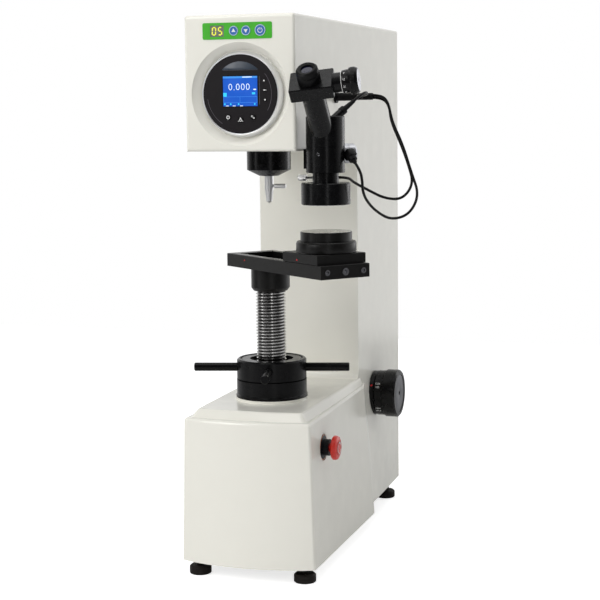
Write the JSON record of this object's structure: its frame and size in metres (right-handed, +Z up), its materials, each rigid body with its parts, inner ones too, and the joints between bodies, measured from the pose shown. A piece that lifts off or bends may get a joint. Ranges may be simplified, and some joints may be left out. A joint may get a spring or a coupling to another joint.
{
  "type": "hardness tester",
  "caption": "C-frame bench hardness tester: dead-weight lever load, screw-raised sliding stage, round digital display, load dial and side measuring microscope.",
  "frame": {"origin": "on the floor plane under the middle of the machine, measured without its cables", "axes": "+Z up, -Y towards the operator (front of the head), +X to the operator's right, where the microscope and the load dial are"},
  "size_m": [0.2913, 0.5632, 0.7],
  "materials": {
    "casting_paint": "semi-gloss enamel",
    "cover_paint": "semi-gloss enamel",
    "screw_zinc": "zinc plated",
    "foot_black": "moulded, steel stud",
    "panel_green": "printed film",
    "key_blue": "satin",
    "housing_black": "satin",
    "bezel_silver": "turned and anodised",
    "face_grey": "printed",
    "screen_glass": "lit display",
    "black_anodised": "black anodised",
    "black_steel": "blackened",
    "bright_steel": "ground",
    "chrome_screw": "polished thread",
    "chrome_rod": "polished",
    "wheel_black": "black satin",
    "silver_aluminium": "satin anodised",
    "cable_black": "matt sheath",
    "plug_black": "moulded",
    "stop_red": "gloss",
    "stop_yellow": "gloss",
    "dial_black": "satin anodised, engraved scale",
    "iron_grey": "as cast"
  },
  "bodies": {
    "frame": {"body_casting": "casting_paint", "top_cover": "cover_paint", "rear_cover": "cover_paint", "cover_screws": "screw_zinc", "levelling_feet": "foot_black", "panel_plate": "panel_green", "gauge_housing": "housing_black", "gauge_bezel": "bezel_silver", "gauge_face": "face_grey", "gauge_screen": "screen_glass", "spindle_collar": "black_anodised", "screw_guard": "wheel_black", "thrust_bearing": "bright_steel", "microscope_bracket": "black_anodised", "microscope_body": "black_anodised", "prism_housing": "black_anodised", "objective_neck": "black_anodised", "ring_light": "black_anodised", "lamp_housing": "silver_aluminium", "lamp_plug": "plug_black", "illuminator_plug": "plug_black", "cable_plug": "plug_black", "lamp_cable": "cable_black", "ring_light_cable": "cable_black", "illuminator_cable": "cable_black", "dial_flange": "dial_black", "stop_collar": "stop_yellow", "power_inlet": "plug_black"},
    "handwheel": {"handwheel": "wheel_black", "handwheel_rods": "chrome_rod"},
    "stage": {"lead_screw": "chrome_screw", "stage_hub": "black_steel", "stage_rail": "black_steel", "stage_end_plate": "black_steel", "stage_end_screws": "bright_steel"},
    "slider": {"stage_slider": "black_steel", "anvil_holder": "black_steel", "anvil": "black_steel"},
    "spindle": {"spindle": "bright_steel", "indenter": "bright_steel"},
    "indenter_clamp": {"indenter_screw": "bright_steel"},
    "ring_light_clamp": {"ring_light_screw": "bright_steel"},
    "measuring_head": {"micrometer_box": "black_anodised", "micrometer_sleeve": "black_anodised"},
    "thimble": {"micrometer_thimble": "black_anodised"},
    "eyepiece": {"eyepiece": "housing_black"},
    "lever": {"main_lever": "iron_grey"},
    "weights": {"weight_stack": "iron_grey"},
    "dial": {"force_dial": "dial_black"},
    "stop": {"stop_button": "stop_red"},
    "switch": {"power_switch": "plug_black"},
    "panel_key_up": {"panel_key_up": "key_blue"},
    "panel_key_down": {"panel_key_down": "key_blue"},
    "panel_key_start": {"panel_key_start": "key_blue"},
    "gauge_key_side_1": {"gauge_key_side_1": "key_blue"},
    "gauge_key_side_2": {"gauge_key_side_2": "key_blue"},
    "gauge_key_side_3": {"gauge_key_side_3": "key_blue"},
    "gauge_key_round_1": {"gauge_key_round_1": "key_blue"},
    "gauge_key_round_2": {"gauge_key_round_2": "key_blue"},
    "gauge_key_round_3": {"gauge_key_round_3": "key_blue"}
  },
  "joints": [
    {"name": "screw_lift", "type": "slide", "parent": "frame", "child": "stage", "axis": [0, 0, 1], "range_m": [-0.085, 0.026]},
    {"name": "handwheel_turn", "type": "hinge", "parent": "frame", "child": "handwheel", "pos_m": [-0.03, -0.116, 0.25], "axis": [0, 0, -1], "range_deg": [-7650.5, 2340.5]},
    {"name": "slider_slide", "type": "slide", "parent": "stage", "child": "slider", "axis": [0.7688, -0.6394, 0], "range_m": [-0.131, 0]},
    {"name": "weight_lift", "type": "slide", "parent": "frame", "child": "weights", "axis": [0, 0, 1], "range_m": [0, 0.015]},
    {"name": "spindle_lift", "type": "slide", "parent": "frame", "child": "spindle", "axis": [0, 0, 1], "range_m": [0, 0.00101]},
    {"name": "lever_tilt", "type": "hinge", "parent": "frame", "child": "lever", "pos_m": [-0.03, -0.136, 0.612], "axis": [1, 0, 0], "range_deg": [0, 2.88]},
    {"name": "indenter_screw_turn", "type": "hinge", "parent": "spindle", "child": "indenter_clamp", "pos_m": [-0.03, -0.116, 0.489], "axis": [1, 0, 0], "range_deg": [-720, 0]},
    {"name": "ring_light_screw_turn", "type": "hinge", "parent": "frame", "child": "ring_light_clamp", "pos_m": [0.07072, -0.19977, 0.5036], "axis": [-1, 0, 0], "range_deg": [-720, 0]},
    {"name": "measuring_head_turn", "type": "hinge", "parent": "frame", "child": "measuring_head", "pos_m": [0.07072, -0.19977, 0.5455], "axis": [0, -0.6428, 0.766], "range_deg": [-90, 0]},
    {"name": "thimble_turn", "type": "hinge", "parent": "measuring_head", "child": "thimble", "pos_m": [0.07072, -0.25649, 0.6131], "axis": [0.9869, 0.1238, 0.1039], "range_deg": [-1440, 1440]},
    {"name": "eyepiece_focus", "type": "hinge", "parent": "measuring_head", "child": "eyepiece", "pos_m": [0.07072, -0.19977, 0.5455], "axis": [0, -0.6428, 0.766], "range_deg": [-150, 150]},
    {"name": "force_dial_turn", "type": "hinge", "parent": "frame", "child": "dial", "pos_m": [0.0415, 0.131, 0.1803], "axis": [1, 0, 0], "range_deg": [-135, 135]},
    {"name": "stop_press", "type": "slide", "parent": "frame", "child": "stop", "axis": [1, 0, 0], "range_m": [-0.004, 0]},
    {"name": "switch_rock", "type": "hinge", "parent": "frame", "child": "switch", "pos_m": [-0.004, 0.271, 0.125], "axis": [1, 0, 0], "range_deg": [-9, 9]},
    {"name": "panel_press_up", "type": "slide", "parent": "frame", "child": "panel_key_up", "axis": [0, 1, 0], "range_m": [0, 0.0004], "stiffness_N_per_m": 1500, "springref_m": -0.0005},
    {"name": "panel_press_down", "type": "slide", "parent": "frame", "child": "panel_key_down", "axis": [0, 1, 0], "range_m": [0, 0.0004], "stiffness_N_per_m": 1500, "springref_m": -0.0005},
    {"name": "panel_press_start", "type": "slide", "parent": "frame", "child": "panel_key_start", "axis": [0, 1, 0], "range_m": [0, 0.0004], "stiffness_N_per_m": 1500, "springref_m": -0.0005},
    {"name": "gauge_press_side_1", "type": "slide", "parent": "frame", "child": "gauge_key_side_1", "axis": [0, 1, 0], "range_m": [0, 0.0004], "stiffness_N_per_m": 1500, "springref_m": -0.0005},
    {"name": "gauge_press_side_2", "type": "slide", "parent": "frame", "child": "gauge_key_side_2", "axis": [0, 1, 0], "range_m": [0, 0.0004], "stiffness_N_per_m": 1500, "springref_m": -0.0005},
    {"name": "gauge_press_side_3", "type": "slide", "parent": "frame", "child": "gauge_key_side_3", "axis": [0, 1, 0], "range_m": [0, 0.0004], "stiffness_N_per_m": 1500, "springref_m": -0.0005},
    {"name": "gauge_press_round_1", "type": "slide", "parent": "frame", "child": "gauge_key_round_1", "axis": [0, 1, 0], "range_m": [0, 0.0004], "stiffness_N_per_m": 1500, "springref_m": -0.0005},
    {"name": "gauge_press_round_2", "type": "slide", "parent": "frame", "child": "gauge_key_round_2", "axis": [0, 1, 0], "range_m": [0, 0.0004], "stiffness_N_per_m": 1500, "springref_m": -0.0005},
    {"name": "gauge_press_round_3", "type": "slide", "parent": "frame", "child": "gauge_key_round_3", "axis": [0, 1, 0], "range_m": [0, 0.0004], "stiffness_N_per_m": 1500, "springref_m": -0.0005}
  ],
  "couplings": [
    {"joint": "handwheel_turn", "follows": "screw_lift", "rad_per_m": 1570.8},
    {"joint": "spindle_lift", "follows": "weight_lift", "ratio": 0.066667},
    {"joint": "lever_tilt", "follows": "weight_lift", "rad_per_m": 3.3333}
  ]
}
